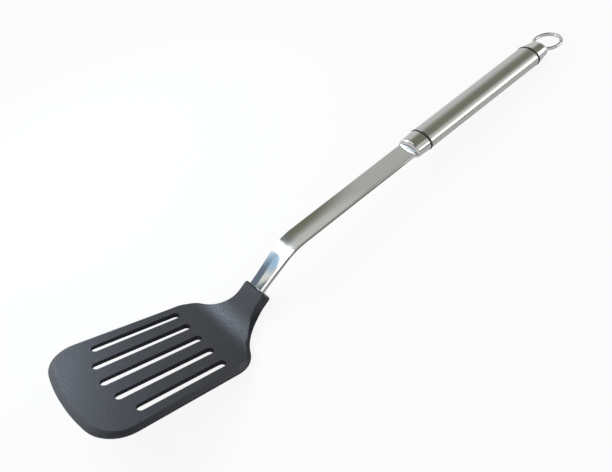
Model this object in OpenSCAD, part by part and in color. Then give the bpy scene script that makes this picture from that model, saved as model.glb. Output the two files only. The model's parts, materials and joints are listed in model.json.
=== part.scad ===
// Slotted offset spatula: a moulded blade on a cranked steel shank with a hollow oval grip.
// All lengths are in millimetres, with +Z up. The spatula lies as it does on a table, on the
// heel of its blade and on the rear ring of its grip. The origin is on the table, under the
// middle of its length. The blade points towards -X and the grip towards +X.
// Each piece is drawn first in the blade's own frame: x = 0 at the front edge, y = 0 in the
// middle and z = 0 on the flat underside. The last step lays it down.

/* [Blade] */
// Length of the flat underside, from the front edge to the heel
flat_l = 82; // [76:0.5:100]
// Greatest width, just behind the front corners
blade_w = 70.8; // [68:0.2:80]
// Width at the rear shoulders
shoulder_w = 64; // [60:0.5:68]
// Radius of the gently curved front edge
front_r = 110; // [80:1:160]
// Radius of the front corners
corner_r = 18; // [12:0.5:22]
// Radius of the rear shoulders
shoulder_r = 15.2; // [12:0.2:18]
// How far the centre of the shoulders lies ahead of the heel
shoulder_lead = 6.5; // [4:0.1:10]
// Radius of the sweep from the shoulders into the neck
sweep_r = 25; // [20:0.5:30]
// Radius of the heel, where the underside curves up into the neck
heel_r = 34; // [28:0.5:38]
// Thickness of the front edge
lip_t = 0.9; // [0.6:0.1:1.4]
// Thickness of the blade just behind the front edge
front_t = 1.9; // [1.6:0.1:2.6]
// Thickness of the blade at the heel
heel_t = 3; // [2.6:0.1:4]
// Width of the bevel along the front edge
front_bevel = 3; // [1:0.1:4.5]
// Width of the bevel along the sides
side_bevel = 2.3; // [1:0.1:3.5]

/* [Slots] */
// Number of slots on each side of the middle one
slots_aside = 2; // [1:1:2]
// Width of a slot
slot_w = 4.6; // [4.4:0.1:6]
// Distance between the slots at their rear ends
slot_pitch = 11.5; // [9:0.1:12]
// How much wider the distance is at their front ends
slot_spread = 1.05; // [0:0.05:1.5]
// Distance from the front edge to the middle slot
slot_margin = 19; // [12:0.5:26]
// How much further back the next slot starts, which grows with the square of its place
slot_bow = 1.6; // [0:0.1:2]
// Distance from the slots' rear ends to the heel
slot_clear = 7.6; // [4:0.1:14]

/* [Socket] */
// Angle of the neck above the blade
neck_angle = 45; // [36:0.5:50]
// Width of the socket
socket_w = 17.2; // [15.5:0.1:20]
// Length of the socket behind the sweep
socket_l = 5.2; // [3:0.1:12]
// Nylon below the shank
socket_floor = 2.6; // [2.2:0.1:4]
// Nylon above the shank
socket_roof = 1; // [0.8:0.1:2]
// Radius of the two corners of the socket's mouth
mouth_r = 1.5; // [0.5:0.1:2.5]

/* [Shank] */
// Thickness of the steel strip
strip_t = 2; // [1.5:0.1:2.4]
// Width of the strip behind the bend
strip_w = 13.7; // [12:0.1:14]
// Width of the strip at the socket
neck_w = 11.1; // [9:0.1:12]
// Length of the neck, from the socket to the corner of the bend
neck_l = 28.6; // [22:0.2:45]
// Radius of the bend, at mid thickness
bend_r = 34; // [16:0.5:40]
// Length of the strip, from the corner of the bend to the ferrule
strip_l = 91.1; // [70:0.5:130]
// Depth of the trough pressed into the neck
trough = 1.2; // [0:0.1:1.4]
// Length of the trough's run-out behind the bend
trough_run = 52; // [30:1:65]
// Length of the tang inside the socket
head_tang_l = 17; // [12:0.5:18]
// Diameter of the two keying holes in that tang
key_hole_d = 3.6; // [2:0.1:4.5]
// Distance between the two keying holes
key_hole_pitch = 7; // [5.5:0.1:8]
// Width of the tang inside the grip
grip_tang_w = 9; // [6:0.1:11]
// Length of the tang inside the grip, from the front of the ferrule
grip_tang_l = 27; // [18:0.5:40]

/* [Grip] */
// Angle of the strip and of the grip above the blade
grip_angle = 20; // [12:0.5:26]
// Width of the oval grip
grip_w = 16.5; // [16:0.1:20]
// Height of the oval grip
grip_h = 12.1; // [11:0.1:15]
// Length of the satin tube
tube_l = 93.9; // [70:0.5:130]
// Wall of the tube, the ferrule and the end cap
wall = 0.9; // [0.6:0.1:1.2]
// Length of the front ferrule
ferrule_l = 10.1; // [8:0.1:16]
// How much narrower the ferrule is behind its nose
ferrule_taper = 0.7; // [0:0.1:1]
// Length of the ferrule's solid rounded nose
nose_l = 2; // [1:0.1:3]
// Width of the flat front of the nose
nose_w = 14.4; // [14:0.1:15.2]
// Height of the flat front of the nose
nose_h = 5; // [4:0.1:8]
// Thickness of the two black rings
ring_t = 1.4; // [0.8:0.1:2.5]
// How far the rings stand proud of the grip
ring_proud = 0.25; // [0.1:0.05:0.5]
// Depth of each plug inside the tube
plug_l = 16; // [12:0.5:30]

/* [End cap and loop] */
// Length of the end cap
cap_l = 10.3; // [8:0.1:16]
// Width of the end cap at its end
cap_end_w = 13.8; // [13.4:0.1:16]
// Radius of the end cap's rim
cap_rim = 2.2; // [0.8:0.1:2.4]
// Thickness of the end cap's end wall
cap_face = 1.4; // [1:0.1:2.5]
// Depth of the rear plug's spigot inside the cap
spigot_l = 4; // [2:0.1:5]
// Diameter of the hanging loop's wire
wire_d = 2.2; // [1.6:0.1:2.4]
// Radius of the loop, at the middle of the wire
loop_r = 8.2; // [7:0.1:14]
// Distance between the loop's two legs
leg_gap = 9.4; // [8:0.1:9.6]
// Radius of the bend between a leg and the loop
leg_bend_r = 1.8; // [1.5:0.1:3]
// Depth of the legs inside the rear plug
leg_l = 8; // [4:0.1:10]

/* [Hidden] */

// Fits between the pieces
plug_fit = 0.05;
strip_fit = 0.05;
wire_fit = 0.05;
// How far a cutting solid runs past what it cuts
overrun = 1;
// Fineness of the curves
$fn = 48;
oval_sides = 48;
front_steps = 5;
corner_steps = 9;
side_steps = 5;
sweep_steps = 16;
mouth_steps = 4;
strip_steps = 22;
bend_steps = 8;
across_steps = 8;
rim_steps = 6;
wire_sides = 14;
leg_steps = 5;
loop_steps = 18;

// Shares of a size, chosen by hand
bevel_end_share = 0.35;
root_share = 0.08;
tang_step_share = 0.5;

// Places along the blade and the neck, measured on the underside
heel_arc_l = heel_r * neck_angle * PI / 180;
shoulder_x = flat_l - shoulder_lead;
shoulder_y = shoulder_w / 2 - shoulder_r;
sweep_y = socket_w / 2 + sweep_r;
sweep_x = shoulder_x + sqrt(pow(shoulder_r + sweep_r, 2) - pow(sweep_y - shoulder_y, 2));
mouth_x = sweep_x + socket_l;
mouth_t = socket_floor + strip_t + socket_roof;
slot_rear = flat_l - slot_clear;

// The two front corners
corner_y = blade_w / 2 - corner_r;
corner_x = front_r - sqrt(pow(front_r - corner_r, 2) - pow(corner_y, 2));

// Places along the shank, measured from the mouth of the socket
turn = neck_angle - grip_angle;
bend_tangent = bend_r * tan(turn / 2);
bend_arc_l = bend_r * turn * PI / 180;
neck_dir = [cos(neck_angle), sin(neck_angle)];
grip_dir = [cos(grip_angle), sin(grip_angle)];
grip_up = [-sin(grip_angle), cos(grip_angle)];

// Places along the grip, measured from the front of the ferrule
tube_start = ferrule_l + ring_t;
tube_end = tube_start + tube_l;
cap_start = tube_end + ring_t;
cap_end = cap_start + cap_l;
leg_y = leg_gap / 2;
loop_x = cap_end + sqrt(pow(loop_r + leg_bend_r, 2) - pow(leg_y + leg_bend_r, 2));
cap_end_h = cap_end_w - grip_w + grip_h;

// A smooth step from 0 to 1
function ease(u) = let (v = min(max(u, 0), 1)) v * v * (3 - 2 * v);
function mix(a, b, u) = a + (b - a) * u;

// A point of the blade or neck, from its distance along the underside and its height above it
function on_spine(s, h) =
    s <= flat_l ? [s, h] :
    let (a = min((s - flat_l) / heel_arc_l, 1) * neck_angle,
         d = max(s - flat_l - heel_arc_l, 0))
    [flat_l + (heel_r - h) * sin(a) + d * neck_dir[0],
     heel_r - (heel_r - h) * cos(a) + d * neck_dir[1]];

// Half of the blade's outline, laid flat, as [distance from the front, half width]
side_dir = [shoulder_x - corner_x, shoulder_y - corner_y];
side_a = atan2(side_dir[1], side_dir[0]) + acos((corner_r - shoulder_r) / norm(side_dir));
front_a = atan2(corner_y, front_r - corner_x);
sweep_a = atan2(sweep_y - shoulder_y, sweep_x - shoulder_x);
function arc(c, r, a, b, n) = [for (i = [0:n]) let (t = mix(a, b, i / n)) c + r * [cos(t), sin(t)]];
half_outline = concat(
    [for (i = [1:front_steps]) let (a = 180 - front_a * i / front_steps)
        [front_r + front_r * cos(a), front_r * sin(a)]],
    [for (p = arc([corner_x, corner_y], corner_r, 180 - front_a, side_a, corner_steps))
        if (p[1] > front_r * sin(front_a) + lip_t / 4) p],
    [for (i = [1:side_steps - 1])
        mix([corner_x, corner_y] + corner_r * [cos(side_a), sin(side_a)],
            [shoulder_x, shoulder_y] + shoulder_r * [cos(side_a), sin(side_a)], i / side_steps)],
    arc([shoulder_x, shoulder_y], shoulder_r, side_a, sweep_a, sweep_steps),
    [for (i = [1:sweep_steps]) let (a = mix(180 + sweep_a, 270, i / sweep_steps))
        [sweep_x + sweep_r * cos(a), sweep_y + sweep_r * sin(a)]],
    arc([mouth_x - mouth_r, socket_w / 2 - mouth_r], mouth_r, 90, 0, mouth_steps));
last = len(half_outline) - 1;

// The outline moved inwards, and the heights of the lip and of the top
function inward(i) =
    let (d = half_outline[min(i + 1, last)] - half_outline[max(i - 1, 0)])
    [d[1], -d[0]] / norm(d);
function root(s) = ease((s - flat_l - heel_arc_l * root_share) / (heel_arc_l * (1 - root_share)));
function top_t(s) = s < flat_l ? mix(front_t, heel_t, s / flat_l) : mix(heel_t, mouth_t, root(s));
function bevel(s) =
    mix(mix(front_bevel, side_bevel, ease(s / corner_x)), side_bevel * bevel_end_share,
        root(s + shoulder_lead));
function lip(s) = mix(lip_t, mouth_t - side_bevel * bevel_end_share, root(s + shoulder_lead));

function head_ring(i, side) =
    let (p = half_outline[i], q = p + bevel(p[0]) * inward(i),
         lo = on_spine(p[0], 0),
         mid = on_spine(p[0], min(lip(p[0]), top_t(p[0]))),
         hi = on_spine(q[0], top_t(q[0])))
    side > 0
    ? [[hi[0], q[1], hi[1]], [mid[0], p[1], mid[1]], [lo[0], p[1], lo[1]]]
    : [[lo[0], -p[1], lo[1]], [mid[0], -p[1], mid[1]], [hi[0], -q[1], hi[1]]];

// A closed skin over stations that each hold the same number of points, as triangles,
// with each end closed by strips between its mirrored points
function skin_faces(stations, n) = concat(
    [for (i = [0:stations - 2], k = [0:n - 1]) let (a = i * n + k, b = i * n + (k + 1) % n)
        each [[a, b, b + n], [a, b + n, a + n]]],
    [for (k = [0:n / 2 - 2]) let (b = n - 1 - k)
        each [[k, b, b - 1], [k, b - 1, k + 1]]],
    [for (k = [0:n / 2 - 2]) let (o = (stations - 1) * n, b = n - 1 - k)
        each [[o + k, o + b - 1, o + b], [o + k, o + k + 1, o + b - 1]]]);

module head_body() {
    points = [for (i = [0:last]) each concat(head_ring(i, 1), head_ring(i, -1))];
    polyhedron(points, skin_faces(last + 1, 6), convexity = 6);
}

// The shank's centre line as [x, z, slope, distance from the mouth]
mouth_pt = on_spine(mouth_x, socket_floor + strip_t / 2);
corner_pt = mouth_pt + neck_l * neck_dir;
ferrule_pt = corner_pt + strip_l * grip_dir;
bend_c = corner_pt - bend_tangent * neck_dir + bend_r * [neck_dir[1], -neck_dir[0]];
neck_end = neck_l - bend_tangent;
strip_start = neck_end + bend_arc_l;
strip_end = strip_start + strip_l - bend_tangent;
function shank_station(d) =
    d <= neck_end ? [each (mouth_pt + d * neck_dir), neck_angle, d] :
    d < strip_start ? let (a = neck_angle - turn * (d - neck_end) / bend_arc_l)
        [each (bend_c + bend_r * [-sin(a), cos(a)]), a, d] :
    [each (corner_pt + (bend_tangent + d - strip_start) * grip_dir), grip_angle, d];
tang_step = strip_end + nose_l * tang_step_share;
shank_places = concat(
    [for (i = [0:bend_steps]) mix(-head_tang_l, 0, i / bend_steps)],
    [for (i = [1:bend_steps]) mix(0, neck_end, i / bend_steps)],
    [for (i = [1:bend_steps]) mix(neck_end, strip_start, i / bend_steps)],
    [for (i = [1:strip_steps]) mix(strip_start, tang_step, i / strip_steps)],
    [tang_step + strip_fit, strip_end + grip_tang_l]);
function shank_w(d) =
    d < 0 ? neck_w :
    d < strip_start ? mix(neck_w, strip_w, ease(d / strip_start)) :
    d <= tang_step ? strip_w : grip_tang_w;
function shank_sag(d) =
    d < 0 ? trough * ease(1 + d / head_tang_l) :
    trough * (1 - ease((d - strip_start) / trough_run));
function shank_ring(d) =
    let (p = shank_station(d), w = shank_w(d), up = [-sin(p[2]), cos(p[2])])
    concat(
        [for (j = [0:across_steps]) let (u = 1 - 2 * j / across_steps,
            h = -strip_t / 2 - shank_sag(d) * (1 - u * u))
            [p[0] + h * up[0], u * w / 2, p[1] + h * up[1]]],
        [for (j = [0:across_steps]) let (u = 2 * j / across_steps - 1,
            h = strip_t / 2 - shank_sag(d) * (1 - u * u))
            [p[0] + h * up[0], u * w / 2, p[1] + h * up[1]]]);

module shank_body() {
    count = 2 * (across_steps + 1);
    points = [for (d = shank_places) each shank_ring(d)];
    polyhedron(points, skin_faces(len(shank_places), count), convexity = 6);
}

// Laying down: the tilt that puts the heel and the rear ring on the table together
ring_foot = ferrule_pt + cap_start * grip_dir - (grip_h / 2 + ring_proud) * grip_up;
heel_c = [flat_l, heel_r];
rest_tilt = atan2(ring_foot[1] - heel_c[1], ring_foot[0] - heel_c[0])
    + asin(heel_r / norm(ring_foot - heel_c));
table_z = heel_c[1] * cos(rest_tilt) - heel_c[0] * sin(rest_tilt) - heel_r;
loop_pt = ferrule_pt + loop_x * grip_dir;
loop_far = loop_pt[0] * cos(rest_tilt) + loop_pt[1] * sin(rest_tilt)
    + loop_r * cos(grip_angle - rest_tilt) + wire_d / 2;
module laid() {
    translate([-loop_far / 2, 0, -table_z]) rotate([0, rest_tilt, 0]) children();
}

// The grip's own frame: +X along the grip from the front of the ferrule
module on_grip(d) {
    translate([ferrule_pt[0], 0, ferrule_pt[1]]) rotate([0, -grip_angle, 0])
        translate([d, 0, 0]) children();
}
module along(l) {
    rotate([90, 0, 90]) linear_extrude(l) children();
}
module oval(w, h) {
    polygon([for (i = [0:oval_sides - 1]) let (a = 360 * i / oval_sides)
        [w / 2 * cos(a), h / 2 * sin(a)]]);
}

// A closed tube over rings that each hold the same number of points
function tube_faces(rings, n) = concat(
    [[for (i = [0:n - 1]) i]],
    [for (j = [0:rings - 2], i = [0:n - 1]) let (a = j * n + i, b = j * n + (i + 1) % n)
        each [[a, a + n, b + n], [a, b + n, b]]],
    [[for (i = [n - 1:-1:0]) (rings - 1) * n + i]]);

// A closed oval shell of rings [x, width, height]
module oval_loft(rings) {
    n = oval_sides;
    points = [for (r = rings, i = [0:n - 1])
        [r[0], r[1] / 2 * cos(360 * i / n), r[2] / 2 * sin(360 * i / n)]];
    polyhedron(points, tube_faces(len(rings), n), convexity = 4);
}
// Rings for a shell with a rounded end: the flat front at x = 0, where the rounding of length r
// ends, and the far end at x = l
function rounded_rings(front_w, front_h, r, w0, h0, l, w1, h1) = concat(
    [for (i = [0:rim_steps]) let (a = 90 * i / rim_steps)
        [r * (1 - cos(a)), mix(front_w, w0, sin(a)), mix(front_h, h0, sin(a))]],
    [[l, w1, h1]]);

module slot(k) {
    slope = atan(k * slot_spread / (slot_rear - slot_margin));
    start = slot_margin + slot_bow * k * k + slot_w / 2;
    translate([slot_rear - slot_w / 2, k * slot_pitch, -overrun]) rotate([0, 0, 180 - slope])
        linear_extrude(heel_t + 2 * overrun) {
            circle(d = slot_w);
            translate([0, -slot_w / 2]) square([slot_rear - slot_w / 2 - start, slot_w]);
            translate([slot_rear - slot_w / 2 - start, 0]) circle(d = slot_w);
        }
}

module head() {
    color("#4b4c50") laid() difference() {
        head_body();
        for (k = [-slots_aside:slots_aside]) slot(k);
        shank_solid();
    }
}

module shank_solid() {
    difference() {
        shank_body();
        for (k = [-1, 1])
            let (p = mouth_pt + (k * key_hole_pitch / 2 - head_tang_l / 2) * neck_dir)
            translate([p[0], 0, p[1]]) rotate([0, -neck_angle, 0])
                cylinder(d = key_hole_d, h = 2 * (strip_t + trough), center = true);
    }
}

module shank() {
    color("#b8bab8") laid() shank_solid();
}

// The opening that the strip or its tang goes through
module strip_way(w, l) {
    along(l) square([w + 2 * strip_fit, strip_t + 2 * strip_fit], center = true);
}

bore_w = grip_w - 2 * wall;
bore_h = grip_h - 2 * wall;

module front_ferrule() {
    color("#c9cac8") laid() on_grip(0) difference() {
        oval_loft(rounded_rings(nose_w, nose_h, nose_l, grip_w - ferrule_taper,
            grip_h - ferrule_taper, ferrule_l, grip_w, grip_h));
        translate([nose_l, 0, 0]) along(ferrule_l) oval(bore_w, bore_h);
        translate([-overrun, 0, 0]) strip_way(strip_w, nose_l + 2 * overrun);
    }
}

module ring() {
    along(ring_t) difference() {
        oval(grip_w + 2 * ring_proud, grip_h + 2 * ring_proud);
        oval(bore_w, bore_h);
    }
}

module front_ring() {
    color("#1c1c1e") laid() on_grip(ferrule_l) ring();
}

module front_plug() {
    color("#2b2b2d") laid() on_grip(nose_l) difference() {
        along(tube_start + plug_l - nose_l) oval(bore_w - 2 * plug_fit, bore_h - 2 * plug_fit);
        translate([-overrun, 0, 0]) strip_way(grip_tang_w, grip_tang_l + overrun);
    }
}

module grip_tube() {
    color("#a5a5a0") laid() on_grip(tube_start) along(tube_l) difference() {
        oval(grip_w, grip_h);
        oval(bore_w, bore_h);
    }
}

module leg_bores(l) {
    for (y = [-leg_y, leg_y]) translate([0, y, 0]) rotate([0, 90, 0])
        cylinder(d = wire_d + 2 * wire_fit, h = l);
}

// The width of the cap's cavity shrinks along the cap as its outside does
function cap_shrink(d) = (grip_w - cap_end_w) * d / cap_l;
spigot_shrink = cap_shrink(spigot_l) + 2 * wire_fit;

module rear_plug() {
    color("#2b2b2d") laid() on_grip(tube_end - plug_l) difference() {
        union() {
            along(plug_l + ring_t) oval(bore_w - 2 * plug_fit, bore_h - 2 * plug_fit);
            along(plug_l + ring_t + spigot_l) oval(bore_w - spigot_shrink, bore_h - spigot_shrink);
        }
        translate([plug_l + ring_t + spigot_l - leg_l, 0, 0]) leg_bores(leg_l + overrun);
    }
}

module rear_ring() {
    color("#1c1c1e") laid() on_grip(tube_end) ring();
}

module end_cap() {
    color("#c9cac8") laid() on_grip(cap_end) mirror([1, 0, 0]) difference() {
        oval_loft(rounded_rings(cap_end_w - 2 * cap_rim, cap_end_h - 2 * cap_rim, cap_rim,
            cap_end_w, cap_end_h, cap_l, grip_w, grip_h));
        oval_loft([[cap_face, cap_end_w - 2 * wall, cap_end_h - 2 * wall],
            [cap_l, bore_w, bore_h], [cap_l + overrun, bore_w, bore_h]]);
        translate([-overrun, 0, 0]) leg_bores(cap_face + 2 * overrun);
    }
}

// One leg and half of the loop, as [x, y, heading] along the middle of the wire
meet_a = atan2(leg_y + leg_bend_r, loop_x - cap_end);
half_wire = concat(
    [[cap_start + spigot_l - leg_l, leg_y, 0]],
    [for (i = [0:leg_steps]) let (a = (90 - meet_a) * i / leg_steps)
        [cap_end + leg_bend_r * sin(a), leg_y + leg_bend_r - leg_bend_r * cos(a), a]],
    [for (i = [1:loop_steps]) let (a = (180 - meet_a) * (1 - i / loop_steps))
        [loop_x + loop_r * cos(a), loop_r * sin(a), a - 90]]);
wire_path = concat(half_wire,
    [for (i = [len(half_wire) - 2:-1:0]) let (p = half_wire[i]) [p[0], -p[1], -180 - p[2]]]);

module hang_loop() {
    r = wire_d / 2;
    points = [for (p = wire_path, i = [0:wire_sides - 1]) let (a = 360 * i / wire_sides)
        [p[0] - r * cos(a) * sin(p[2]), p[1] + r * cos(a) * cos(p[2]), r * sin(a)]];
    color("#c9cac8") laid() on_grip(0)
        polyhedron(points, tube_faces(len(wire_path), wire_sides), convexity = 6);
}

head();
shank();
front_ferrule();
front_ring();
front_plug();
grip_tube();
rear_plug();
rear_ring();
end_cap();
hang_loop();
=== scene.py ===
"""The looks of a slotted offset spatula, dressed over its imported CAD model.

The blade is drawn from the CAD blade with softened edges. The steel strip, the oval grip's shells, its
rings and the hanging wire are modelled anew at the CAD model's sizes.
"""

import json
import math

import bpy
from mathutils import Matrix, Vector


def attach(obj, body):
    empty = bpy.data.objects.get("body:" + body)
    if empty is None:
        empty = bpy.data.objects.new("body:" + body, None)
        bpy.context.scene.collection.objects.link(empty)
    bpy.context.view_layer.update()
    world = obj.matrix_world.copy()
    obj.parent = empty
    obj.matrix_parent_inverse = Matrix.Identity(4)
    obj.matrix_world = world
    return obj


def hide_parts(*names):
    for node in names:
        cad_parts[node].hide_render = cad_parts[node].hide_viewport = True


bl_info = {
    "name": "Slotted offset spatula",
    "version": (1, 0, 0),
    "blender": (4, 5, 0),
    "location": "3D View > Sidebar > Spatula",
    "description": "Models the pieces and finishes of a slotted offset spatula",
    "category": "Object",
}

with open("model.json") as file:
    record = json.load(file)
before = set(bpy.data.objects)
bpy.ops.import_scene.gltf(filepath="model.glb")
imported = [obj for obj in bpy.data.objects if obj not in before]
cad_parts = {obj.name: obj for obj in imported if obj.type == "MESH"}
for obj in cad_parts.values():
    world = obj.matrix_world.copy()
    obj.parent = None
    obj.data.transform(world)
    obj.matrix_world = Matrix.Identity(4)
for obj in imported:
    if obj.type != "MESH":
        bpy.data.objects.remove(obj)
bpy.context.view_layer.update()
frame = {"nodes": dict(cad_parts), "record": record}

MM = 0.001
BODY = "root"
# The part of a noise that is spread over a range. What lies outside is held at the range's ends.
NOISE_SPAN = {"From Min": 0.3, "From Max": 0.7}
# The turn that points a new circle or cylinder along X.
ALONG_X = (0, math.pi / 2, 0)
# Facets round the edge of a steel shell, and round an edge of a ring.
SHELL_STEPS, RING_STEPS = 12, 5


def from_hex(text):
    """The linear colour of an sRGB hex value."""
    channels = [int(text[i:i + 2], 16) / 255 for i in (1, 3, 5)]
    return tuple(c / 12.92 if c <= 0.04045 else ((c + 0.055) / 1.055) ** 2.4 for c in channels)


def length(name, description, default):
    """A length property, given in millimetres."""
    return bpy.props.FloatProperty(name=name, description=description, default=default * MM,
                                   unit="LENGTH", precision=5)


def angle(name, description, default):
    """An angle property, given in degrees."""
    return bpy.props.FloatProperty(name=name, description=description, subtype="ANGLE",
                                   default=math.radians(default))


def colour(name, description, default):
    """A colour property, given as a hex value."""
    return bpy.props.FloatVectorProperty(name=name, description=description, subtype="COLOR",
                                         default=from_hex(default))


class BladeSettings(bpy.types.PropertyGroup):
    """The moulded blade and its socket."""
    flat_l: length("Flat length", "From the front edge to the heel", 82)
    heel_r: length("Heel radius", "Curve of the underside up into the neck", 34)
    mouth_l: length("Mouth", "From the front edge to the socket's mouth, along the underside", 117.221)
    socket_floor: length("Socket floor", "Nylon below the strip", 2.6)
    edge_r: length("Edge round", "Width of the softened edges", 0.3)
    mount_x: length("Mount place", "From the front edge to the underside's mount", 9.5)
    nylon: colour("Nylon", "Charcoal nylon", "#1f2028")


class StripSettings(bpy.types.PropertyGroup):
    """The steel strip between the blade and the grip."""
    neck_angle: angle("Neck angle", "Neck above the blade", 45)
    grip_angle: angle("Grip angle", "Grip above the blade", 20)
    thickness: length("Thickness", "Thickness of the strip", 2)
    width: length("Width", "Width behind the bend", 13.7)
    neck_w: length("Neck width", "Width at the socket", 11.1)
    neck_l: length("Neck length", "From the socket to the corner of the bend", 28.6)
    bend_r: length("Bend radius", "Radius of the bend at mid thickness", 34)
    strip_l: length("Strip length", "From the corner of the bend to the ferrule", 91.1)
    trough: length("Trough", "Depth of the trough pressed into the neck", 1.2)
    trough_run: length("Trough run-out", "Length of the trough's run-out behind the bend", 52)
    front_tang: length("Front tang", "Tang inside the socket", 17)
    key_hole_r: length("Key hole radius", "Radius of the tang's two keying holes", 1.8)
    key_hole_pitch: length("Key hole pitch", "Distance between the keying holes", 7)
    rear_tang: length("Rear tang", "Tang inside the grip", 27)
    rear_tang_w: length("Rear tang width", "Width of the tang inside the grip", 9)
    edge_r: length("Edge round", "Width of the polished long edges", 0.4)
    cell: length("Cell", "Spacing of the strip's mesh", 0.8)
    satin_start: length("Satin start", "Where the satin finish starts, from the socket", 26.8)
    satin_bow: length("Satin bow", "How much later the satin starts at the edges", 3.2)
    steel: colour("Steel", "Stainless steel", "#cbcac7")


class GripSettings(bpy.types.PropertyGroup):
    """The oval grip."""
    width: length("Width", "Width of the oval", 16.5)
    height: length("Height", "Height of the oval", 12.1)
    wall: length("Wall", "Wall of the shells", 0.9)
    ferrule_l: length("Ferrule", "Length of the front ferrule", 10.1)
    ferrule_taper: length("Ferrule taper", "How much narrower the ferrule is behind its nose", 0.7)
    nose_l: length("Nose", "Length of the ferrule's solid rounded nose", 2)
    nose_w: length("Nose width", "Width of the flat front of the nose", 14.4)
    nose_h: length("Nose height", "Height of the flat front of the nose", 5)
    lip: length("Lip", "Width of the softened edges of the shells", 0.12)
    ring_t: length("Ring", "Thickness of the black rings", 1.4)
    ring_proud: length("Ring stand", "How far the rings stand proud", 0.25)
    ring_round: length("Ring round", "Radius of the rings' outer edges", 0.49)
    tube_l: length("Tube", "Length of the satin tube", 93.9)
    cap_l: length("Cap", "Length of the end cap", 10.3)
    cap_end_w: length("Cap end", "Width of the cap at its end", 13.8)
    cap_rim: length("Cap rim", "Radius of the cap's rim", 2.2)
    cap_face: length("Cap face", "Thickness of the cap's end wall", 1.4)
    way_fit: length("Fit", "Gap round the strip in the ferrule and round the wire in the cap", 0.08)
    sides: bpy.props.IntProperty(name="Sides", description="Sides of the oval", default=128)
    rubber: colour("Rubber", "Black rubber", "#1d1d1f")
    plug: colour("Plug", "Black moulded plastic", "#2b2b2d")


class WireSettings(bpy.types.PropertyGroup):
    """The hanging wire."""
    diameter: length("Diameter", "Diameter of the wire", 2.2)
    loop_r: length("Loop radius", "Radius at the middle of the wire", 8.2)
    leg_gap: length("Leg gap", "Distance between the legs", 9.4)
    leg_bend_r: length("Leg bend", "Radius between a leg and the loop", 1.8)
    leg_l: length("Leg", "Length of the legs inside the cap and the plug", 14.3)
    sides: bpy.props.IntProperty(name="Sides", description="Sides of the wire", default=24)


class StudioSettings(bpy.types.PropertyGroup):
    """The floor, the camera and the lights."""
    focal: bpy.props.FloatProperty(name="Lens", description="Focal length in mm", default=41.13)
    floor_size: length("Floor", "Width of the floor", 6000)
    floor_colour: colour("Floor colour", "Pale matt floor", "#f6f6f6")
    floor_glow: bpy.props.FloatProperty(
        name="Floor glow", description="Share of plain white in the floor's look",
        default=0.88, min=0, max=1, subtype="FACTOR")
    floor_mirrored: bpy.props.FloatProperty(
        name="Floor glow in mirrors", description="Share of plain white in the floor that steel reflects",
        default=0.2, min=0, max=1, subtype="FACTOR")


class Places:
    """Where things are, worked out from the settings.

    Distances along the strip start at the socket's mouth, and distances along the grip at the front of
    the ferrule. Points are in the blade's own frame. from_blade and from_grip lay the blade's and the
    grip's own frames down where the CAD model has them.
    """

    def __init__(self, scene):
        blade, strip, grip = scene.spatula_blade, scene.spatula_strip, scene.spatula_grip
        turn = strip.neck_angle - strip.grip_angle
        self.neck_dir = Vector((math.cos(strip.neck_angle), 0, math.sin(strip.neck_angle)))
        self.grip_dir = Vector((math.cos(strip.grip_angle), 0, math.sin(strip.grip_angle)))
        arc_l = blade.heel_r * strip.neck_angle
        up = Vector((-self.neck_dir.z, 0, self.neck_dir.x))
        heel_centre = Vector((blade.flat_l, 0, blade.heel_r))
        along = blade.mouth_l - blade.flat_l - arc_l
        rise = blade.socket_floor + strip.thickness / 2 - blade.heel_r
        self.mouth = heel_centre + rise * up + along * self.neck_dir
        corner = self.mouth + strip.neck_l * self.neck_dir
        self.ferrule = corner + strip.strip_l * self.grip_dir
        tangent = strip.bend_r * math.tan(turn / 2)
        self.bend_start = strip.neck_l - tangent
        self.bend_end = self.bend_start + strip.bend_r * turn
        self.strip_end = self.bend_end + strip.strip_l - tangent
        self.bend_centre = self.mouth + self.bend_start * self.neck_dir - strip.bend_r * up
        self.tube_start = grip.ferrule_l + grip.ring_t
        self.tube_end = self.tube_start + grip.tube_l
        self.cap_start = self.tube_end + grip.ring_t
        self.cap_end = self.cap_start + grip.cap_l

        mount = next(m for m in frame["record"]["mounts"] if m["name"] == "blade_underside")
        axis = Vector(mount["axis"])
        lean = Matrix.Rotation(math.atan2(-axis.x, -axis.z), 4, "Y")
        origin = Vector(mount["pos_m"]) - lean.to_3x3() @ Vector((blade.mount_x, 0, 0))
        self.from_blade = Matrix.Translation(origin) @ lean
        on_grip = Matrix.Translation(self.ferrule) @ Matrix.Rotation(-strip.grip_angle, 4, "Y")
        self.from_grip = self.from_blade @ on_grip
        self.grip_lean = math.atan2(axis.x, axis.z) + math.pi + strip.grip_angle


def deselect():
    """Leaves object mode with nothing selected."""
    if bpy.context.object and bpy.context.object.mode != "OBJECT":
        bpy.ops.object.mode_set(mode="OBJECT")
    bpy.ops.object.select_all(action="DESELECT")


def make_active(piece):
    """Selects one piece alone."""
    deselect()
    piece.select_set(True)
    bpy.context.view_layer.objects.active = piece


def apply_modifier(piece, kind, **settings):
    """Adds a modifier and applies it."""
    make_active(piece)
    modifier = piece.modifiers.new(kind.title(), kind)
    for name, value in settings.items():
        setattr(modifier, name, value)
    bpy.ops.object.modifier_apply(modifier=modifier.name)


def cut_away(piece, cutter):
    """Cuts a closed shape out of a piece and deletes the shape."""
    apply_modifier(piece, "BOOLEAN", operation="DIFFERENCE", solver="EXACT", object=cutter)
    bpy.data.objects.remove(cutter)


def finish_piece(piece, name, node, material, smooth=30):
    """Names and shades a finished piece, gives it its material, attaches it to the body and hides its CAD
    node.
    """
    make_active(piece)
    bpy.ops.object.shade_smooth_by_angle(angle=math.radians(smooth))
    piece.name = name
    piece.data.name = name
    piece.data.materials.clear()
    piece.data.materials.append(material)
    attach(piece, BODY)
    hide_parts(node)
    deselect()


# Materials


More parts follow.
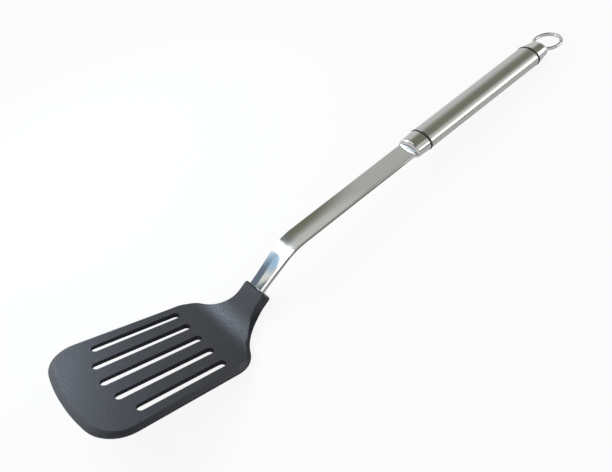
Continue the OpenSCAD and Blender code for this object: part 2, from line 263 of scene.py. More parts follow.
def add_node(tree, kind, inputs=None, **settings):
    """Adds a node. An input is a value, or the socket that feeds it."""
    made = tree.nodes.new(kind)
    for name, value in settings.items():
        setattr(made, name, value)
    for name, value in (inputs or {}).items():
        if isinstance(value, bpy.types.NodeSocket):
            tree.links.new(value, made.inputs[name])
        else:
            made.inputs[name].default_value = value
    return made


def new_material(name):
    """An empty node material with its output."""
    material = bpy.data.materials.new(name)
    material.use_nodes = True
    material.node_tree.nodes.clear()
    return material, material.node_tree


def give_surface(tree, shader):
    """Links a shader to the material's output."""
    add_node(tree, "ShaderNodeOutputMaterial", {"Surface": shader.outputs[0]})


def rgba(colour_value):
    """A colour with full alpha."""
    return (*colour_value, 1.0)


def shade_of(colour_value, factor):
    """A colour made darker or lighter."""
    return rgba([min(1.0, c * factor) for c in colour_value])


def moulded_nylon(colour_value):
    """Glass-filled nylon from a spark-eroded mould: a fine dull grain, a little cloudy in colour."""
    material, tree = new_material("nylon, moulded with a fine grain")
    place = add_node(tree, "ShaderNodeTexCoord").outputs["Object"]
    # Such grain is too fine to show here, so it is drawn as coarse as it needs to show.
    grain_w, cloud_w = 0.9 * MM, 14 * MM
    grain = add_node(tree, "ShaderNodeTexNoise",
                     {"Vector": place, "Scale": 1 / grain_w, "Detail": 3.0, "Roughness": 0.6})
    cloud = add_node(tree, "ShaderNodeTexNoise", {"Vector": place, "Scale": 1 / cloud_w, "Detail": 2.0})
    tint = add_node(tree, "ShaderNodeMix", {"Factor": cloud.outputs["Fac"],
                                            "A": shade_of(colour_value, 0.92),
                                            "B": shade_of(colour_value, 1.08)}, data_type="RGBA")
    speck = add_node(tree, "ShaderNodeMapRange", {"Value": grain.outputs["Fac"], **NOISE_SPAN,
                                                  "To Min": 0.5, "To Max": 1.5})
    base = add_node(tree, "ShaderNodeVectorMath",
                    {0: tint.outputs["Result"], "Scale": speck.outputs["Result"]}, operation="SCALE")
    rough = add_node(tree, "ShaderNodeMapRange", {"Value": grain.outputs["Fac"], **NOISE_SPAN,
                                                  "To Min": 0.34, "To Max": 0.52})
    bump = add_node(tree, "ShaderNodeBump", {"Height": grain.outputs["Fac"], "Strength": 0.7,
                                             "Distance": 0.12 * MM})
    shader = add_node(tree, "ShaderNodeBsdfPrincipled",
                      {"Base Color": base.outputs["Vector"], "Roughness": rough.outputs["Result"],
                       "Normal": bump.outputs["Normal"], "IOR": 1.53, "Specular IOR Level": 0.5})
    give_surface(tree, shader)
    return material


def steel_streaks(tree, place, lean):
    """Fine lengthwise streaks, as a belt leaves them, along a direction that leans about Y."""
    # A fine belt's streaks are too fine to show here, so they are drawn wider.
    streak_l, streak_w = 25 * MM, 0.22 * MM
    turned = add_node(tree, "ShaderNodeMapping",
                      {"Vector": place, "Rotation": (0, lean, 0)}, vector_type="POINT")
    stretched = add_node(tree, "ShaderNodeVectorMath",
                         {0: turned.outputs["Vector"], 1: (1 / streak_l, 1 / streak_w, 1 / streak_w)},
                         operation="MULTIPLY")
    return add_node(tree, "ShaderNodeTexNoise",
                    {"Vector": stretched.outputs["Vector"], "Scale": 1.0, "Detail": 3.0,
                     "Roughness": 0.65}).outputs["Fac"]


def satin_steel(colour_value, lean):
    """Stainless tube brushed lengthwise with a fine belt: soft broad reflections and faint streaks."""
    material, tree = new_material("stainless steel, satin brushed")
    place = add_node(tree, "ShaderNodeTexCoord").outputs["Object"]
    streaks = steel_streaks(tree, place, lean)
    tone = add_node(tree, "ShaderNodeMix", {"Factor": streaks, "A": shade_of(colour_value, 0.86),
                                            "B": shade_of(colour_value, 1.05)}, data_type="RGBA")
    rough = add_node(tree, "ShaderNodeMapRange", {"Value": streaks, **NOISE_SPAN,
                                                  "To Min": 0.22, "To Max": 0.32})
    bump = add_node(tree, "ShaderNodeBump", {"Height": streaks, "Strength": 0.25, "Distance": 0.01 * MM})
    shader = add_node(tree, "ShaderNodeBsdfPrincipled",
                      {"Base Color": tone.outputs["Result"], "Metallic": 1.0,
                       "Roughness": rough.outputs["Result"], "Normal": bump.outputs["Normal"]})
    give_surface(tree, shader)
    return material


def polished_steel(colour_value):
    """Buffed stainless steel: almost a mirror, with hazy patches and hairline marks from wiping."""
    material, tree = new_material("stainless steel, polished")
    place = add_node(tree, "ShaderNodeTexCoord").outputs["Object"]
    # Hairline marks are too fine to show here, so they are drawn wider.
    haze_w, mark_w = 6 * MM, 0.5 * MM
    haze = add_node(tree, "ShaderNodeTexNoise", {"Vector": place, "Scale": 1 / haze_w, "Detail": 3.0})
    marks = add_node(tree, "ShaderNodeTexNoise", {"Vector": place, "Scale": 1 / mark_w, "Detail": 4.0})
    rough = add_node(tree, "ShaderNodeMapRange", {"Value": haze.outputs["Fac"], **NOISE_SPAN,
                                                  "To Min": 0.05, "To Max": 0.1})
    bump = add_node(tree, "ShaderNodeBump", {"Height": marks.outputs["Fac"], "Strength": 0.012,
                                             "Distance": 0.004 * MM})
    shader = add_node(tree, "ShaderNodeBsdfPrincipled",
                      {"Base Color": rgba(colour_value), "Metallic": 1.0,
                       "Roughness": rough.outputs["Result"], "Normal": bump.outputs["Normal"]})
    give_surface(tree, shader)
    return material


def strip_steel(settings, lean):
    """Stainless strip: mirror polished on the neck and satin behind the bend, with a sharp change.

    The change bows towards the neck in the middle of the strip. Its place is measured on the flat
    strip, which the unrolled map keeps.
    """
    material, tree = new_material("stainless steel strip, part polished and part satin")
    place = add_node(tree, "ShaderNodeTexCoord").outputs["Object"]
    unrolled = add_node(tree, "ShaderNodeSeparateXYZ",
                        {"Vector": add_node(tree, "ShaderNodeUVMap", uv_map="unrolled").outputs["UV"]})
    half_w = settings.width / 2
    across = add_node(tree, "ShaderNodeMath", {0: unrolled.outputs["Y"], 1: half_w}, operation="DIVIDE")
    bow = add_node(tree, "ShaderNodeMath", {0: across.outputs[0], 1: across.outputs[0]},
                   operation="MULTIPLY")
    late = add_node(tree, "ShaderNodeMath", {0: bow.outputs[0], 1: settings.satin_bow},
                    operation="MULTIPLY")
    past = add_node(tree, "ShaderNodeMath", {0: unrolled.outputs["X"], 1: late.outputs[0]},
                    operation="SUBTRACT")
    edge = 0.25 * MM
    satin = add_node(tree, "ShaderNodeMapRange", {"Value": past.outputs[0],
                                                  "From Min": settings.satin_start - edge,
                                                  "From Max": settings.satin_start + edge})
    streaks = steel_streaks(tree, place, lean)
    polished_rough = 0.06
    satin_rough = add_node(tree, "ShaderNodeMapRange", {"Value": streaks, **NOISE_SPAN,
                                                        "To Min": 0.15, "To Max": 0.18})
    rough = add_node(tree, "ShaderNodeMix", {"Factor": satin.outputs["Result"], "A": polished_rough,
                                             "B": satin_rough.outputs["Result"]})
    tone = add_node(tree, "ShaderNodeMix", {"Factor": streaks, "A": shade_of(settings.steel, 0.88),
                                            "B": shade_of(settings.steel, 1.04)}, data_type="RGBA")
    base = add_node(tree, "ShaderNodeMix", {"Factor": satin.outputs["Result"], "A": rgba(settings.steel),
                                            "B": tone.outputs["Result"]}, data_type="RGBA")
    height = add_node(tree, "ShaderNodeMath", {0: streaks, 1: satin.outputs["Result"]},
                      operation="MULTIPLY")
    bump = add_node(tree, "ShaderNodeBump", {"Height": height.outputs[0], "Strength": 0.05,
                                             "Distance": 0.01 * MM})
    shader = add_node(tree, "ShaderNodeBsdfPrincipled",
                      {"Base Color": base.outputs["Result"], "Metallic": 1.0,
                       "Roughness": rough.outputs["Result"], "Normal": bump.outputs["Normal"]})
    give_surface(tree, shader)
    return material


def moulded_rubber(colour_value):
    """Black moulded rubber: dull, with a faint dusty bloom."""
    material, tree = new_material("rubber, moulded")
    place = add_node(tree, "ShaderNodeTexCoord").outputs["Object"]
    bloom_w = 1.2 * MM
    bloom = add_node(tree, "ShaderNodeTexNoise", {"Vector": place, "Scale": 1 / bloom_w, "Detail": 3.0})
    tint = add_node(tree, "ShaderNodeMix", {"Factor": bloom.outputs["Fac"],
                                            "A": shade_of(colour_value, 0.7),
                                            "B": shade_of(colour_value, 1.5)}, data_type="RGBA")
    rough = add_node(tree, "ShaderNodeMapRange", {"Value": bloom.outputs["Fac"], **NOISE_SPAN,
                                                  "To Min": 0.45, "To Max": 0.6})
    bump = add_node(tree, "ShaderNodeBump", {"Height": bloom.outputs["Fac"], "Strength": 0.3,
                                             "Distance": 0.03 * MM})
    shader = add_node(tree, "ShaderNodeBsdfPrincipled",
                      {"Base Color": tint.outputs["Result"], "Roughness": rough.outputs["Result"],
                       "Normal": bump.outputs["Normal"], "IOR": 1.5})
    give_surface(tree, shader)
    return material


def moulded_plug(colour_value):
    """Black polypropylene, moulded: smooth and slightly waxy."""
    material, tree = new_material("polypropylene, moulded")
    place = add_node(tree, "ShaderNodeTexCoord").outputs["Object"]
    flow_w = 3 * MM
    flow = add_node(tree, "ShaderNodeTexNoise", {"Vector": place, "Scale": 1 / flow_w, "Detail": 2.0})
    tint = add_node(tree, "ShaderNodeMix", {"Factor": flow.outputs["Fac"],
                                            "A": shade_of(colour_value, 0.85),
                                            "B": shade_of(colour_value, 1.15)}, data_type="RGBA")
    rough = add_node(tree, "ShaderNodeMapRange", {"Value": flow.outputs["Fac"], **NOISE_SPAN,
                                                  "To Min": 0.34, "To Max": 0.44})
    shader = add_node(tree, "ShaderNodeBsdfPrincipled",
                      {"Base Color": tint.outputs["Result"], "Roughness": rough.outputs["Result"],
                       "IOR": 1.49})
    give_surface(tree, shader)
    return material


# Pieces


class SPATULA_OT_blade(bpy.types.Operator):
    """The moulded blade: the CAD blade with softened edges"""
    bl_idname = "spatula.blade"
    bl_label = "Blade"

    def execute(self, context):
        settings = context.scene.spatula_blade
        blade = bpy.data.objects.new("blade", frame["nodes"]["head"].data.copy())
        context.scene.collection.objects.link(blade)
        make_active(blade)
        bpy.ops.object.mode_set(mode="EDIT")
        bpy.ops.mesh.select_all(action="SELECT")
        # The CAD mesh is triangles that are open from face to face, so it is welded and its flat
        # fields are joined before the bevel.
        bpy.ops.mesh.remove_doubles(threshold=0.002 * MM)
        bpy.ops.mesh.dissolve_limited(angle_limit=math.radians(0.4))
        bpy.ops.object.mode_set(mode="OBJECT")
        apply_modifier(blade, "BEVEL", width=settings.edge_r, segments=3, limit_method="ANGLE",
                       angle_limit=math.radians(14), use_clamp_overlap=True)
        finish_piece(blade, "blade", "head", moulded_nylon(settings.nylon), smooth=25)
        apply_modifier(blade, "WEIGHTED_NORMAL", mode="FACE_AREA", weight=100, keep_sharp=True)
        deselect()
        return {"FINISHED"}


def ease(share):
    """A smooth step from 0 to 1."""
    held = min(max(share, 0), 1)
    return held * held * (3 - 2 * held)


def strip_half_width(settings, places, d):
    """Half the strip's width at a distance from the socket's mouth."""
    if d > places.strip_end:
        return settings.rear_tang_w / 2
    widening = ease(d / places.bend_end)
    return (settings.neck_w + (settings.width - settings.neck_w) * widening) / 2


def strip_sag(settings, places, d):
    """How deep the trough is at a distance from the socket's mouth."""
    if d < 0:
        return settings.trough * ease(1 + d / settings.front_tang)
    return settings.trough * (1 - ease((d - places.bend_end) / settings.trough_run))


def on_strip(settings, places, d, y, h):
    """A point of the strip: its distance along the middle line, its place across and its height."""
    if d <= places.bend_start:
        point, slope = places.mouth + d * places.neck_dir, settings.neck_angle
    elif d < places.bend_end:
        slope = settings.neck_angle - (d - places.bend_start) / settings.bend_r
        point = places.bend_centre + settings.bend_r * Vector((-math.sin(slope), 0, math.cos(slope)))
    else:
        point, slope = places.ferrule + (d - places.strip_end) * places.grip_dir, settings.grip_angle
    return point + Vector((-h * math.sin(slope), y, h * math.cos(slope)))


class SPATULA_OT_strip(bpy.types.Operator):
    """The steel strip: a flat sheet with its edges rounded, then pressed and bent"""
    bl_idname = "spatula.strip"
    bl_label = "Steel strip"

    def execute(self, context):
        settings = context.scene.spatula_strip
        places = Places(context.scene)
        total = settings.front_tang + places.strip_end + settings.rear_tang
        middle = total / 2 - settings.front_tang
        deselect()
        bpy.ops.mesh.primitive_grid_add(x_subdivisions=round(total / settings.cell),
                                        y_subdivisions=round(settings.width / settings.cell),
                                        size=1, location=(middle, 0, settings.thickness / 2))
        strip = context.object
        bpy.ops.object.mode_set(mode="EDIT")
        bpy.ops.transform.resize(value=(total, settings.width, 1),
                                 center_override=(middle, 0, settings.thickness / 2))
        bpy.ops.mesh.extrude_region_move(TRANSFORM_OT_translate={"value": (0, 0, -settings.thickness)})
        bpy.ops.object.mode_set(mode="OBJECT")
        bpy.ops.object.transform_apply(location=True, rotation=True, scale=True)
        bpy.ops.object.mode_set(mode="EDIT")
        bpy.ops.mesh.select_all(action="SELECT")
        bpy.ops.mesh.normals_make_consistent(inside=False)
        bpy.ops.object.mode_set(mode="OBJECT")
        apply_modifier(strip, "BEVEL", width=settings.edge_r, segments=4, limit_method="ANGLE",
                       angle_limit=math.radians(60))
        self.punch_key_holes(settings, strip)
        unrolled = strip.data.uv_layers.new(name="unrolled")
        for loop in strip.data.loops:
            co = strip.data.vertices[loop.vertex_index].co
            unrolled.data[loop.index].uv = (co.x, co.y)
        for vertex in strip.data.vertices:
            d, y, h = vertex.co
            share = y / (settings.width / 2)
            half_w = strip_half_width(settings, places, d)
            sag = strip_sag(settings, places, d) * (1 - share * share)
            vertex.co = places.from_blade @ on_strip(settings, places, d, share * half_w, h - sag)
        finish_piece(strip, "steel_strip", "shank",
                     strip_steel(settings, places.grip_lean), smooth=40)
        return {"FINISHED"}

    def punch_key_holes(self, settings, strip):
        """Punches the two holes that key the front tang into the nylon."""
        through = 3 * settings.thickness
        for side in (-1, 1):
            place = side * settings.key_hole_pitch / 2 - settings.front_tang / 2
            deselect()
            bpy.ops.mesh.primitive_cylinder_add(vertices=32, radius=settings.key_hole_r, depth=through,
                                                location=(place, 0, 0))
            cut_away(strip, bpy.context.object)


def oval_solid(rings, sides, hollow=False):
    """An oval shell along X through rings of (x, width, height), closed at its ends, or, where it is
    hollow, joined from its last ring back to its first."""
    x, w, h = rings[0]
    unit_r = 0.5
    deselect()
    bpy.ops.mesh.primitive_circle_add(vertices=sides, radius=unit_r, rotation=ALONG_X,
                                      fill_type="NOTHING" if hollow else "NGON")
    shell = bpy.context.object
    bpy.ops.object.transform_apply(location=True, rotation=True, scale=True)
    bpy.ops.object.mode_set(mode="EDIT")
    bpy.ops.mesh.select_all(action="SELECT")
    bpy.ops.transform.resize(value=(1, w, h), center_override=(0, 0, 0))
    bpy.ops.transform.translate(value=(x, 0, 0))
    for next_x, next_w, next_h in rings[1:]:
        bpy.ops.mesh.extrude_region_move(TRANSFORM_OT_translate={"value": (next_x - x, 0, 0)})
        bpy.ops.transform.resize(value=(1, next_w / w, next_h / h), center_override=(next_x, 0, 0))
        x, w, h = next_x, next_w, next_h
    if hollow:
        bpy.ops.mesh.select_all(action="DESELECT")
        bpy.ops.mesh.select_non_manifold()
        bpy.ops.mesh.bridge_edge_loops()
    bpy.ops.mesh.select_all(action="SELECT")
    bpy.ops.mesh.normals_make_consistent(inside=False)
    bpy.ops.object.mode_set(mode="OBJECT")
    return shell


def rounded(x, depth, face, side, steps):
    """Rings of a rounded end, from its face at x out to its side, which lies deeper by depth. The face
    and the side are each a width and a height."""
    rings = []
    for i in range(steps + 1):
        a = math.pi / 2 * i / steps
        w, h = (f + (s - f) * math.sin(a) for f, s in zip(face, side))
        rings.append((x + depth * (1 - math.cos(a)), w, h))
    return rings


def place_on_grip(piece, places):
    """Moves a piece's mesh from the grip's own frame to its place."""
    piece.data.transform(places.from_grip)


class SPATULA_OT_grip(bpy.types.Operator):
    """The oval grip: ferrule, rings, tube and end cap"""
    bl_idname = "spatula.grip"
    bl_label = "Grip"

    def execute(self, context):
        settings = context.scene.spatula_grip
        strip = context.scene.spatula_strip
        wire = context.scene.spatula_wire
        places = Places(context.scene)
        polished = polished_steel(strip.steel)
        self.ferrule(settings, strip, places, polished)
        self.tube(settings, places, satin_steel(strip.steel, places.grip_lean))
        rubber = moulded_rubber(settings.rubber)
        self.ring(settings, places, settings.ferrule_l, "front_seal_ring", "front_ring", rubber)
        self.ring(settings, places, places.tube_end, "rear_seal_ring", "rear_ring", rubber)
        self.cap(settings, wire, places, polished)
        return {"FINISHED"}

    def ferrule(self, settings, strip, places, material):
        """The polished front shell with its solid rounded nose and the opening for the strip."""
        w, h, wall, lip = settings.width, settings.height, settings.wall, settings.lip
        face = (settings.nose_w, settings.nose_h)
        side = (w - settings.ferrule_taper, h - settings.ferrule_taper)
        inner_w, inner_h = w - 2 * wall, h - 2 * wall
        rings = [(0, face[0] - 2 * lip, face[1] - 2 * lip)]
        rings += rounded(0, settings.nose_l, face, side, SHELL_STEPS)
        rings += [(settings.ferrule_l - lip, w, h), (settings.ferrule_l, w - 2 * lip, h - 2 * lip),
                  (settings.ferrule_l, inner_w, inner_h), (settings.nose_l, inner_w, inner_h)]
        shell = oval_solid(rings, settings.sides)
        deselect()
        bpy.ops.mesh.primitive_cube_add(size=1, location=(0, 0, 0))
        way = bpy.context.object
        through = 3 * settings.nose_l
        bpy.ops.object.mode_set(mode="EDIT")
        bpy.ops.transform.resize(value=(through, strip.width + 2 * settings.way_fit,
                                        strip.thickness + 2 * settings.way_fit),
                                 center_override=(0, 0, 0))
        bpy.ops.object.mode_set(mode="OBJECT")
        apply_modifier(way, "BEVEL", width=strip.edge_r, segments=4, limit_method="ANGLE",
                       angle_limit=math.radians(60))
        cut_away(shell, way)
        place_on_grip(shell, places)
        finish_piece(shell, "ferrule_shell", "front_ferrule", material)

    def tube(self, settings, places, material):
        """The satin tube, open at both ends."""
        w, h, wall, lip = settings.width, settings.height, settings.wall, settings.lip
        rings = [(places.tube_start, w - 2 * lip, h - 2 * lip), (places.tube_start + lip, w, h),
                 (places.tube_end - lip, w, h), (places.tube_end, w - 2 * lip, h - 2 * lip),
                 (places.tube_end, w - 2 * wall, h - 2 * wall),
                 (places.tube_start, w - 2 * wall, h - 2 * wall)]
        shell = oval_solid(rings, settings.sides, hollow=True)
        place_on_grip(shell, places)
        finish_piece(shell, "handle_tube", "grip_tube", material)

    def ring(self, settings, places, x, name, node, material):
        """A black ring with rounded outer edges."""
        w, h = settings.width + 2 * settings.ring_proud, settings.height + 2 * settings.ring_proud
        inner_w, inner_h = settings.width - 2 * settings.wall, settings.height - 2 * settings.wall
        round_r = settings.ring_round
        face = (w - 2 * round_r, h - 2 * round_r)
        rings = rounded(x, round_r, face, (w, h), RING_STEPS)
        rings += rounded(x + settings.ring_t, -round_r, face, (w, h), RING_STEPS)[::-1]
        rings += [(x + settings.ring_t, inner_w, inner_h), (x, inner_w, inner_h)]
        shell = oval_solid(rings, settings.sides, hollow=True)
        place_on_grip(shell, places)
        finish_piece(shell, name, node, material)

    def cap(self, settings, wire, places, material):
        """The polished end cap with the two holes for the wire's legs."""
        w, h, wall, lip = settings.width, settings.height, settings.wall, settings.lip
        end_w, end_h = settings.cap_end_w, settings.cap_end_w - w + h
        rim = settings.cap_rim
        face = (end_w - 2 * rim, end_h - 2 * rim)
        rings = [(places.cap_end, face[0] - 2 * lip, face[1] - 2 * lip)]
        rings += rounded(places.cap_end, -rim, face, (end_w, end_h), SHELL_STEPS)
        rings += [(places.cap_start + lip, w, h), (places.cap_start, w - 2 * lip, h - 2 * lip),
                  (places.cap_start, w - 2 * wall, h - 2 * wall),
                  (places.cap_end - settings.cap_face, end_w - 2 * wall, end_h - 2 * wall)]
        shell = oval_solid(rings, settings.sides)
        through = 4 * settings.cap_face
        for side in (-1, 1):
            deselect()
            bpy.ops.mesh.primitive_cylinder_add(vertices=wire.sides, depth=through, rotation=ALONG_X,
                                                radius=wire.diameter / 2 + settings.way_fit,
                                                location=(places.cap_end, side * wire.leg_gap / 2, 0))
            cut_away(shell, bpy.context.object)
        place_on_grip(shell, places)
        finish_piece(shell, "cap_shell", "end_cap", material)


class SPATULA_OT_wire(bpy.types.Operator):
    """The hanging wire: a round section drawn along a leg, round the loop and back"""
    bl_idname = "spatula.wire"
    bl_label = "Hanging wire"

    def execute(self, context):
        settings = context.scene.spatula_wire
        places = Places(context.scene)
        leg_y = settings.leg_gap / 2
        leg = settings.leg_l - settings.leg_bend_r
        bend_y = leg_y + settings.leg_bend_r
        reach = math.sqrt((settings.loop_r + settings.leg_bend_r) ** 2 - bend_y ** 2)
        small_turn = math.pi / 2 - math.atan2(bend_y, reach)
        large_turn = math.pi + 2 * small_turn
        bend_steps, loop_steps = 8, 64
        deselect()
        bpy.ops.mesh.primitive_circle_add(vertices=settings.sides, radius=settings.diameter / 2,
                                          fill_type="NGON", rotation=ALONG_X,
                                          location=(places.cap_end - leg, leg_y, 0))
        wire = context.object
        bpy.ops.object.transform_apply(location=True, rotation=True, scale=True)
        bpy.ops.object.mode_set(mode="EDIT")
        bpy.ops.mesh.select_all(action="SELECT")
        bpy.ops.mesh.extrude_region_move(TRANSFORM_OT_translate={"value": (leg, 0, 0)})
        for steps, turn, centre in ((bend_steps, -small_turn, (places.cap_end, bend_y, 0)),
                                    (loop_steps, large_turn, (places.cap_end + reach, 0, 0)),
                                    (bend_steps, -small_turn, (places.cap_end, -bend_y, 0))):
            bpy.ops.mesh.spin(steps=steps, angle=turn, center=centre, axis=(0, 0, 1))
        bpy.ops.mesh.extrude_region_move(TRANSFORM_OT_translate={"value": (-leg, 0, 0)})
        bpy.ops.mesh.select_all(action="SELECT")
        bpy.ops.mesh.remove_doubles(threshold=0.001 * MM)
        bpy.ops.mesh.normals_make_consistent(inside=False)
        bpy.ops.object.mode_set(mode="OBJECT")
        place_on_grip(wire, places)
        finish_piece(wire, "hanging_wire", "hang_loop",
                     polished_steel(context.scene.spatula_strip.steel), smooth=40)
        return {"FINISHED"}


class SPATULA_OT_plugs(bpy.types.Operator):
    """The two plugs inside the grip keep their CAD shapes and get their finish"""
    bl_idname = "spatula.plugs"
    bl_label = "Plugs"

    def execute(self, context):
        material = moulded_plug(context.scene.spatula_grip.plug)
        for node in ("front_plug", "rear_plug"):
            plug = frame["nodes"][node]
            plug.data.materials.clear()
            plug.data.materials.append(material)
        return {"FINISHED"}


# The stage


def seen_share(tree, direct, mirrored):
    """A share for rays from the camera, another for those that mirrors and glass pass on, and 0 for
    the rest."""
    path = add_node(tree, "ShaderNodeLightPath").outputs
    passed = add_node(tree, "ShaderNodeMath", {0: path["Is Glossy Ray"], 1: path["Is Transmission Ray"]},
                      operation="MAXIMUM")
    shares = [add_node(tree, "ShaderNodeMath", {0: ray, 1: share}, operation="MULTIPLY").outputs[0]
              for ray, share in ((path["Is Camera Ray"], direct), (passed.outputs[0], mirrored))]
    return add_node(tree, "ShaderNodeMath", dict(enumerate(shares)), operation="MAXIMUM").outputs[0]


class SPATULA_OT_studio(bpy.types.Operator):
    """The floor, the camera and the lights"""
    bl_idname = "spatula.studio"
    bl_label = "Studio"

    def execute(self, context):
        settings = context.scene.spatula_studio
        places = Places(context.scene)
        self.floor(settings)
        self.painted_shade_sheets()
        self.camera(context.scene, settings, places)
        self.lights()
        self.world(context.scene)
        context.scene.view_settings.view_transform = "Standard"
        return {"FINISHED"}

    def floor(self, settings):
        """A plain pale floor under the spatula."""
        deselect()
        bpy.ops.mesh.primitive_plane_add(size=settings.floor_size, location=(0, 0, 0))
        floor = bpy.context.object
        floor.name = "floor"
        material, tree = new_material("paper, plain matt")
        lit = add_node(tree, "ShaderNodeBsdfDiffuse", {"Color": rgba(settings.floor_colour)})
        glow = add_node(tree, "ShaderNodeEmission", {"Color": (1, 1, 1, 1), "Strength": 1.0})
        share = seen_share(tree, settings.floor_glow, settings.floor_mirrored)
        shader = add_node(tree, "ShaderNodeMixShader", {"Fac": share})
        tree.links.new(lit.outputs[0], shader.inputs[1])
        tree.links.new(glow.outputs[0], shader.inputs[2])
        give_surface(tree, shader)
        floor.data.materials.append(material)

    def painted_shade_sheets(self):
        """Painted shade: dark glowing sheets on the table in front of the grip and the strip and under
        the blade. They stand in for shade on the floor, and only reflections show them. Their corners are
        in millimetres."""
        warm_grey, near_black = (0.3, 0.28, 0.25), (0.12, 0.12, 0.13)
        shade_sheet_z = 1 * MM
        for name, tone, corners in (
                ("grip_painted_shade", warm_grey, ((60, -200), (200, -70), (60, -38), (200, -22))),
                ("strip_painted_shade", warm_grey, ((-75, -60), (44, -60), (-75, -14), (44, -14))),
                ("blade_painted_shade", near_black, ((-200, -85), (-78, -85), (-200, 40), (-78, 40)))):
            # Painted shade: each sheet glows a fixed dark tone and is seen only in reflections, where the
            # floor's shade would be.
            material, tree = new_material("painted shade, seen only in reflections")
            give_surface(tree, add_node(tree, "ShaderNodeEmission", {"Color": rgba(tone)}))
            deselect()
            bpy.ops.mesh.primitive_plane_add(size=1, location=(0, 0, 0))
            shade_sheet = bpy.context.object
            shade_sheet.name = name
            for vertex, (x, y) in zip(shade_sheet.data.vertices, corners):
                vertex.co = (x * MM, y * MM, shade_sheet_z)
            shade_sheet.data.materials.append(material)
            shade_sheet.visible_camera = shade_sheet.visible_diffuse = shade_sheet.visible_shadow = False
            shade_sheet.visible_transmission = shade_sheet.visible_volume_scatter = False

    def camera(self, scene, settings, places):
        """The camera, where the photograph was taken from, in the blade's own frame."""
        place = Vector((-58.8, -246.25, 241.1)) * MM
        right = Vector((0.78483, -0.61921, 0.02507))
        up = Vector((0.31577, 0.43437, 0.84357))
        turn = Matrix((right, up, right.cross(up))).transposed().to_4x4()
        camera = bpy.data.objects.new("camera", bpy.data.cameras.new("camera"))
        scene.collection.objects.link(camera)
        camera.matrix_world = places.from_blade @ Matrix.Translation(place) @ turn
        camera.data.lens = settings.focal
        camera.data.clip_start = 10 * MM
        scene.camera = camera

    def lights(self):
        """A tall soft box behind the spatula, a low one in front and a small one close to the blade.

        Each has a place and a point that it faces, in metres, a roll about its own axis in degrees, a
        width and a height, a radiance and a tint.
        """
        for name, place, aim, roll, size, radiance, tint in (
                ("tall soft box", (-0.205, 0.99, 0.67), (-0.055, 0, 0.02), -21, (0.32, 0.95), 1.7,
                 (0.96, 1, 1.04)),
                ("low soft box", (0.752, -0.631, 0.191), (0, 0, 0), 0, (0.8, 0.3), 2.2, (1, 1, 1)),
                ("blade soft box", (-0.088, 0.262, 0.226), (-0.165, 0.01, 0.034), 0, (0.06, 0.12), 15.5,
                 (0.8, 0.97, 1.18))):
            direction = Vector(place) - Vector(aim)
            lamp = bpy.data.lights.new(name, "AREA")
            lamp.shape = "RECTANGLE"
            lamp.size, lamp.size_y = size
            lamp.energy = radiance * math.pi * size[0] * size[1]
            lamp.color = tint
            holder = bpy.data.objects.new(name, lamp)
            facing = direction.to_track_quat("Z", "Y").to_matrix().to_4x4()
            holder.matrix_world = (Matrix.Translation(place) @ facing
                                   @ Matrix.Rotation(math.radians(roll), 4, "Z"))
            holder.visible_camera = False
            bpy.context.scene.collection.objects.link(holder)

    def world(self, scene):
        """A pale room with a dark gap along its ceiling, over the spatula, which branches off to a lit
        far wall. A lit panel with a blue edge, a blue wedge and a pale stripe lie beside the branch.

        Places on the ceiling are in ceiling heights along X and Y. Slanted ones are along X too, but
        lean with Y. A later patch lies over those before it.
        """
        world = bpy.data.worlds.new("studio")
        world.use_nodes = True
        scene.world = world
        tree = world.node_tree
        tree.nodes.clear()
        way = add_node(tree, "ShaderNodeSeparateXYZ",
                       {"Vector": add_node(tree, "ShaderNodeTexCoord").outputs["Generated"]}).outputs
        lowest, slant = 0.02, 0.055
        height = add_node(tree, "ShaderNodeMath", {0: way["Z"], 1: lowest},
                          operation="MAXIMUM").outputs[0]
        along, across = (add_node(tree, "ShaderNodeMath", {0: way[axis], 1: height},
                                  operation="DIVIDE").outputs[0] for axis in "XY")
        slanted = add_node(tree, "ShaderNodeMath", {0: across, 1: slant, 2: along},
                           operation="MULTIPLY_ADD").outputs[0]
        cold = add_node(tree, "ShaderNodeMapRange", {"Value": along, "From Min": 0.3, "From Max": -0.2})
        olive, slate, blue = rgba((0.25, 0.26, 0.2)), rgba((0.2, 0.26, 0.34)), rgba((0.5, 0.8, 1.1))
        dark = add_node(tree, "ShaderNodeMix", {"Factor": cold.outputs["Result"], "A": olive, "B": slate},
                        data_type="RGBA").outputs["Result"]
        seen = rgba((0.79, 0.8, 0.8))
        for label, colour_value, *edges in (
                ("dark gap", dark,
                 (along, -1.1, -0.7), (along, 3.2, 2.0), (across, -0.75, -0.4), (across, 1.35, 0.35)),
                ("dark gap's branch to the far wall", dark,
                 (along, -1.1, -0.8), (slanted, -0.48, -0.5), (across, -0.4, 0), (across, 3.3, 2.9)),
                ("far wall", rgba((1.6, 1.6, 1.6)),
                 (along, -1.5, -1.1), (along, 0.1, -0.1), (across, 2.9, 3.4), (across, 12, 10)),
                ("panel's blue edge", blue,
                 (slanted, -0.45, -0.41), (along, 0, -0.1), (across, -0.05, 0.1), (across, 1.1, 0.6)),
                ("lit panel", rgba((2.2, 2.2, 2.2)),
                 (slanted, -0.425, -0.375), (along, 0, -0.1), (across, -0.05, 0.1), (across, 1.1, 0.6)),
                ("blue wedge", blue,
                 (slanted, -0.465, -0.44), (slanted, -0.395, -0.41),
                 (across, 0.4, 0.6), (across, 2.1, 1.7)),
                ("pale stripe", rgba((1.15, 1.15, 1.1)),
                 (slanted, -0.495, -0.48), (slanted, -0.445, -0.465),
                 (across, 0.5, 0.65), (across, 3, 2.5))):
            patch = self.soft_patch(tree, edges)
            seen = add_node(tree, "ShaderNodeMix", {"Factor": patch, "A": seen, "B": colour_value},
                            data_type="RGBA", label=label).outputs["Result"]
        shader = add_node(tree, "ShaderNodeBackground", {"Color": seen, "Strength": 1.0})
        add_node(tree, "ShaderNodeOutputWorld", {"Surface": shader.outputs[0]})

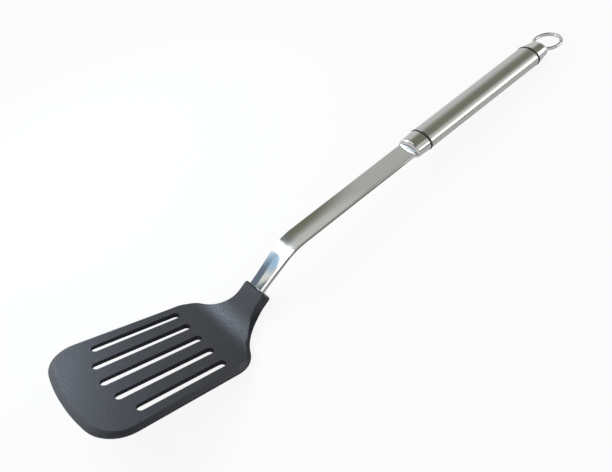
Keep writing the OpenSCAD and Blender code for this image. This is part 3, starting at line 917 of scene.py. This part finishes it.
    def soft_patch(self, tree, edges):
        """A share that is 1 inside every edge. An edge is a value, with where the patch starts and where
        it is full."""
        share = 1.0
        for value, start, full in edges:
            side = add_node(tree, "ShaderNodeMapRange",
                            {"Value": value, "From Min": start, "From Max": full},
                            interpolation_type="SMOOTHSTEP").outputs["Result"]
            share = add_node(tree, "ShaderNodeMath", {0: side, 1: share}, operation="MULTIPLY").outputs[0]
        return share


class SPATULA_PT_panel(bpy.types.Panel):
    """The spatula's settings and steps"""
    bl_idname = "SPATULA_PT_panel"
    bl_label = "Slotted offset spatula"
    bl_space_type = "VIEW_3D"
    bl_region_type = "UI"
    bl_category = "Spatula"

    def draw(self, context):
        for group in SETTINGS:
            box = self.layout.box()
            settings = getattr(context.scene, group)
            for name in settings.bl_rna.properties.keys():
                if name not in ("rna_type", "name"):
                    box.prop(settings, name)
        for step in STEPS:
            self.layout.operator(step)


SETTINGS = {
    "spatula_blade": BladeSettings,
    "spatula_strip": StripSettings,
    "spatula_grip": GripSettings,
    "spatula_wire": WireSettings,
    "spatula_studio": StudioSettings,
}
OPERATORS = (SPATULA_OT_blade, SPATULA_OT_strip, SPATULA_OT_grip, SPATULA_OT_wire, SPATULA_OT_plugs,
             SPATULA_OT_studio)
STEPS = [operator.bl_idname for operator in OPERATORS]


def register():
    for name, group in SETTINGS.items():
        bpy.utils.register_class(group)
        setattr(bpy.types.Scene, name, bpy.props.PointerProperty(type=group))
    for operator in OPERATORS:
        bpy.utils.register_class(operator)
    bpy.utils.register_class(SPATULA_PT_panel)


def unregister():
    bpy.utils.unregister_class(SPATULA_PT_panel)
    for operator in reversed(OPERATORS):
        bpy.utils.unregister_class(operator)
    for name, group in reversed(SETTINGS.items()):
        delattr(bpy.types.Scene, name)
        bpy.utils.unregister_class(group)


def main():
    register()
    bpy.ops.spatula.blade()
    bpy.ops.spatula.strip()
    bpy.ops.spatula.grip()
    bpy.ops.spatula.wire()
    bpy.ops.spatula.plugs()
    bpy.ops.spatula.studio()


if __name__ == "__main__":
    main()
